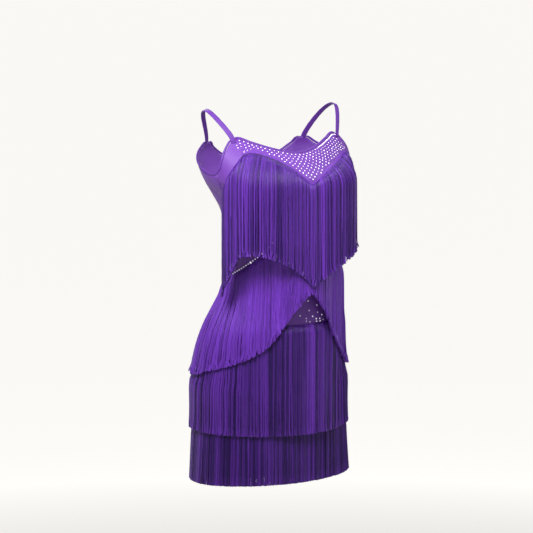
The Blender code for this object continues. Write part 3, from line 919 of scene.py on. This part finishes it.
# ---------------------------------------------------------------- headings
def heading_piece(tier):
    """A heading tape: a strip with fine upright ribs by a sine of the run, lying where the
    tier's profiles start, then given its thickness."""
    a, _, run = chained(tier.heading, 0.0012)
    ring = tier.name != "bodice"
    if ring:
        a, run = a[:-1], run[:-1]
    down = np.linspace(1, 0, 7)[:, None]
    angle = np.repeat(a[None, :], len(down), 0)
    length = np.interp(angle, *np.array(tier.lengths, float).T) + TAPE_TALL
    z, r = profile_at(tier.name, angle, down * TAPE_TALL / length)
    lift = 0.0002 + 0.00018 * np.sin(run * 2 * np.pi / 0.0018)[None, :]
    faces = grid_faces(len(down), len(a), ring)
    uv = np.stack([np.repeat(run[None, :], len(down), 0), z], axis=-1)
    thing = put_mesh(tier.name + "_heading_tape", place(angle, z, r + lift).reshape(-1, 3),
                     faces, HEADING_MAT, uv.reshape(-1, 2)[faces])
    return thicken(thing, TAPE_THICK - 0.0003)


# ---------------------------------------------------------------- stones
CUT = (
    # a stone's rings: width and height in stone radii, and the turn in sides
    (1.0, 0.0, 0.0), (1.0, 0.16, 0.0), (0.80, 0.46, 0.5), (0.50, 0.66, 0.0),
)


def stones(name, angle, z, size, lift, seed):
    """Flat-backed cut stones: an eight-sided girdle, a ring of break facets turned half a
    side, and a flat table, each set square on the cloth and turned at random."""
    rng = np.random.default_rng(seed)
    n = len(angle)
    side, up, out = body_frame(angle, z)
    centre = on_body(angle, z, 0.0) + out * np.broadcast_to(lift, n)[:, None]
    size = np.broadcast_to(size, n)
    spin = rng.uniform(0, 2 * np.pi, n)[:, None]
    tip = rng.normal(0, 0.06, (n, 2))
    out = unit(out + side * tip[:, :1] + up * tip[:, 1:])
    side = unit(np.cross(up, out))
    up = np.cross(out, side)
    k = np.arange(8)
    points = []
    for wide, tall, turn in CUT:
        at = k[None, :] * 2 * np.pi / 8 + spin + turn * 2 * np.pi / 8
        points.append(centre[:, None] + size[:, None, None] * (
            wide * np.cos(at)[..., None] * side[:, None]
            + wide * np.sin(at)[..., None] * up[:, None] + tall * out[:, None]))
    points += [(centre + size[:, None] * CUT[-1][1] * out)[:, None], centre[:, None]]
    points = np.concatenate(points, axis=1)
    each = points.shape[1]
    table, back_point = 0 * k + each - 2, 0 * k + each - 1
    m = (k + 1) % 8
    faces = np.concatenate([np.stack(corners, -1) for corners in (
        (k, m, m + 8), (k, m + 8, k + 8), (k + 8, m + 8, k + 16), (m + 8, m + 16, k + 16),
        (k + 16, m + 16, m + 24), (k + 16, m + 24, k + 24), (k + 24, m + 24, table),
        (m, k, back_point))])
    faces = (faces[None] + (np.arange(n) * each)[:, None, None]).reshape(-1, 3)
    return put_mesh(name, points.reshape(-1, 3), faces, CRYSTAL_MAT, None,
                    {"tint": np.repeat(rng.normal(0, 1, n), each)}, False)


def yoke_stones():
    """Stones in staggered rows that follow the neckline, down to just above the heading."""
    rng = np.random.default_rng(11)
    neck = mirrored(tuple(p for p in FRONT_EDGE if p[0] < 66))
    tape_a, tape_z = np.array(BODICE_TAPE).T
    found = []
    for row in range(YOKE_ROWS):
        a, h, _ = chained(neck, YOKE_STEP)
        if row % 2:
            a, h = 0.5 * (a[1:] + a[:-1]), 0.5 * (h[1:] + h[:-1])
        slope = np.hypot(0.001, figure_radius(a, h) - figure_radius(a, h - 0.001)) / 0.001
        z = h - (0.0042 + row * YOKE_ROW) / slope
        a = a + rng.normal(0, 0.12, len(a))
        z = z + rng.normal(0, 0.00025, len(a))
        clear = (z - np.interp(a, tape_a, tape_z)) * slope > YOKE_MARGIN
        # On the right the rows stop short of the armhole, and only the upper ones reach it.
        right = (a > -57.0) | ((z > -0.0785) & (a > -64.5))
        keep = clear & (a < 66.5) & right
        found.append(np.stack([a[keep], z[keep]]))
    a, z = np.concatenate(found, axis=1)
    size = STONE * rng.choice(STONE_SIZES[0], len(a), p=STONE_SIZES[1])
    return stones("yoke_stones", a, z, size, STONE_LIFT, 5)


def peplum_chain():
    """One stone after another along the peplum's heading, with a big one on the right."""
    a, z, _ = chained([p for p in PEPLUM_TAPE if abs(p[0]) < CHAIN_END], CHAIN_STEP)
    size = np.where(np.abs(a - BIG_STONE_ANGLE) < 1.2, BIG_STONE, CHAIN_STONE)
    return stones("peplum_stone_chain", a, z - BELOW_EDGE, size, CHAIN_LIFT, 6)


def neck_stones():
    """A close line of stones along the left half of the neck edge."""
    a, z, _ = chained(NECK_LINE, NECK_STEP)
    return stones("neck_stone_line", a, z - BELOW_EDGE, NECK_STONE, NECK_LIFT, 7)


def belly_stones():
    """Single stones on the belly, each at its own place and size."""
    a, z, size = np.array(BELLY_STONES).T
    return stones("belly_stones", a, z, STONE * size, STONE_LIFT, 8)


# ---------------------------------------------------------------- make it
def adopt(piece, slot, *nodes):
    """Puts a piece on the one body, in place of any nodes named. The slot is not used."""
    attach(piece, "root")
    if nodes:
        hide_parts(*nodes)
    return piece


front = adopt(panel_piece("front_panel", mirrored(FRONT_EDGE), 150, 110), "cloth", "front_panel")
back = adopt(panel_piece("back_panel", whole_back(BACK_EDGE), 160, 110), "cloth", "back_panel")

# The neck bindings stop under the straps and the armhole bindings start beside them.
neck_half = tuple(p for p in FRONT_EDGE if p[0] < 68) + ((68.6, -0.0582),)
scoop = whole_back(tuple(p for p in BACK_EDGE if p[0] > 122))
arm = ((69.1, -0.0605),) + tuple(p for p in FRONT_EDGE + BACK_EDGE if 69.1 < p[0] < 118)
edges = {
    "neck_binding_front": mirrored(neck_half),
    "neck_binding_back": scoop,
    "armhole_binding_left": arm,
    "armhole_binding_right": tuple((-a, z) for a, z in reversed(arm)),
}
SIDE_SIGNS = (("left", 1.0), ("right", -1.0))
trim = {"front": [], "back": []}
for side, sign in SIDE_SIGNS:
    trim["back"].append(adopt(seam_piece("side_seam_" + side, sign * SEAM_ANGLE), "cloth"))
for node, line in edges.items():
    piece, sewn = edge_piece(node, line)
    adopt(piece, "cloth", node)
    adopt(sewn, "cloth")
    trim["front" if "front" in node else "back"] += [piece, sewn]

for side, sign in SIDE_SIGNS:
    band, sewn = strap_piece("strap_" + side, sign)
    adopt(band, "cloth", "strap_" + side)
    for row in sewn:
        adopt(row, "cloth")

for seed, tier in enumerate(TIERS):
    tape = adopt(heading_piece(tier), "heading", tier.name + "_fringe_heading")
    cords = adopt(fringe_piece(tier, 20 + seed), "fringe", tier.name + "_fringe")
    trim["front"] += [tape, cords]

for sewn_on in (yoke_stones(), peplum_chain(), neck_stones(), belly_stones()):
    trim["front"].append(adopt(sewn_on, "cloth"))

# ---------------------------------------------------------------- floor, light, camera
FLOOR_Z, FLOOR_REACH = -1.42, 60.0
LIGHTS = (
    # name, azimuth, elevation, distance, size, power, colour, aim, spread
    ("key", -55, 44, 1.3, 0.55, 8.5, (1.0, 0.99, 0.98), (0, -0.05, -0.30), 100),
    ("right", 42, 45, 1.7, 0.7, 6.5, (1.0, 0.98, 0.98), (0, 0, -0.2), 110),
    ("back", 165, 50, 2.4, 1.2, 16, (1.0, 0.99, 0.98), (0, 0, -0.3), 140),
)
CAMERA_AZIMUTH, CAMERA_ELEVATION, CAMERA_DISTANCE, CAMERA_LENS = -32, 8.5, 6.0, 192.5
CAMERA_CENTRE = np.array([0.0, 0.0, -0.38])
CAMERA_SHIFT = (-0.0116, 0.0410)          # of its aim from that centre, to the right and up


def stage_floor():
    """A wide pale disc under the dress, where the wearer's floor would be. It glows more with
    the distance from the axis, so that it meets the pale backdrop."""
    turn = np.linspace(0, 2 * np.pi, 96, endpoint=False)
    ring = np.stack([FLOOR_REACH * np.cos(turn), FLOOR_REACH * np.sin(turn),
                     0 * turn + FLOOR_Z], -1)
    mesh = bpy.data.meshes.new("floor")
    mesh.from_pydata(ring.tolist(), [], [tuple(range(len(turn)))])
    made = bpy.data.materials.new("Pale studio floor")
    made.use_nodes = True
    shader = made.node_tree.nodes["Principled BSDF"]
    shader.inputs["Base Color"].default_value = (0.60, 0.59, 0.575, 1)
    shader.inputs["Roughness"].default_value = 0.9
    shader.inputs["Specular IOR Level"].default_value = 0.1
    shader.inputs["Emission Strength"].default_value = 0.87
    tree = made.node_tree
    where = tree.nodes.new("ShaderNodeTexCoord")
    size = tree.nodes.new("ShaderNodeVectorMath")
    size.operation = "LENGTH"
    tree.links.new(where.outputs["Object"], size.inputs[0])
    ramp = tree.nodes.new("ShaderNodeMapRange")
    ramp.inputs["From Min"].default_value = 1.0
    ramp.inputs["From Max"].default_value = 3.2
    tree.links.new(size.outputs["Value"], ramp.inputs["Value"])
    tint = tree.nodes.new("ShaderNodeMix")
    tint.data_type = "RGBA"
    tint.inputs["A"].default_value = (0, 0, 0, 1)
    tint.inputs["B"].default_value = (1.0, 0.985, 0.955, 1)
    tree.links.new(ramp.outputs["Result"], tint.inputs["Factor"])
    tree.links.new(tint.outputs["Result"], shader.inputs["Emission Color"])
    mesh.materials.append(made)
    floor = bpy.data.objects.new("floor", mesh)
    bpy.context.scene.collection.objects.link(floor)


def toward(azimuth, elevation):
    """Unit vector from the dress out to an azimuth (0 in front, 90 at its left) and elevation."""
    a, e = math.radians(azimuth), math.radians(elevation)
    return np.array([math.sin(a) * math.cos(e), -math.cos(a) * math.cos(e), math.sin(e)])


def point_at(thing, position, aim):
    """Puts a lamp or camera at a position, looking at its aim."""
    thing.location = position
    way = Vector(aim) - Vector(position)
    thing.rotation_euler = way.to_track_quat("-Z", "Y").to_euler()


def soft_light(name, azimuth, elevation, distance, size, power, colour, aim, spread):
    """A square area light aimed at the dress from an azimuth and elevation."""
    data = bpy.data.lights.new(name, "AREA")
    data.energy, data.size, data.color = power, size, colour
    data.spread = math.radians(spread)
    lamp = bpy.data.objects.new(name, data)
    bpy.context.scene.collection.objects.link(lamp)
    point_at(lamp, np.array(aim) + toward(azimuth, elevation) * distance, aim)


def set_camera():
    """The camera, on a circle round the dress, aimed a little off its middle."""
    camera = bpy.data.cameras.new("camera")
    camera.sensor_width, camera.lens, camera.clip_end = 36.0, CAMERA_LENS, 200
    eye = bpy.data.objects.new("camera", camera)
    bpy.context.scene.collection.objects.link(eye)
    way = toward(CAMERA_AZIMUTH, CAMERA_ELEVATION)
    turn = math.radians(CAMERA_AZIMUTH)
    right = np.array([math.cos(turn), math.sin(turn), 0.0])
    aim = CAMERA_CENTRE + right * CAMERA_SHIFT[0] + np.cross(way, right) * CAMERA_SHIFT[1]
    point_at(eye, CAMERA_CENTRE + way * CAMERA_DISTANCE, aim)
    bpy.context.scene.camera = eye


stage_floor()
world = bpy.data.worlds.new("studio")
world.use_nodes = True
world.node_tree.nodes["Background"].inputs["Color"].default_value = (1.0, 0.985, 0.96, 1)
world.node_tree.nodes["Background"].inputs["Strength"].default_value = 0.14
bpy.context.scene.world = world
for light in LIGHTS:
    soft_light(*light)
bpy.context.scene.view_settings.view_transform = "Standard"
set_camera()
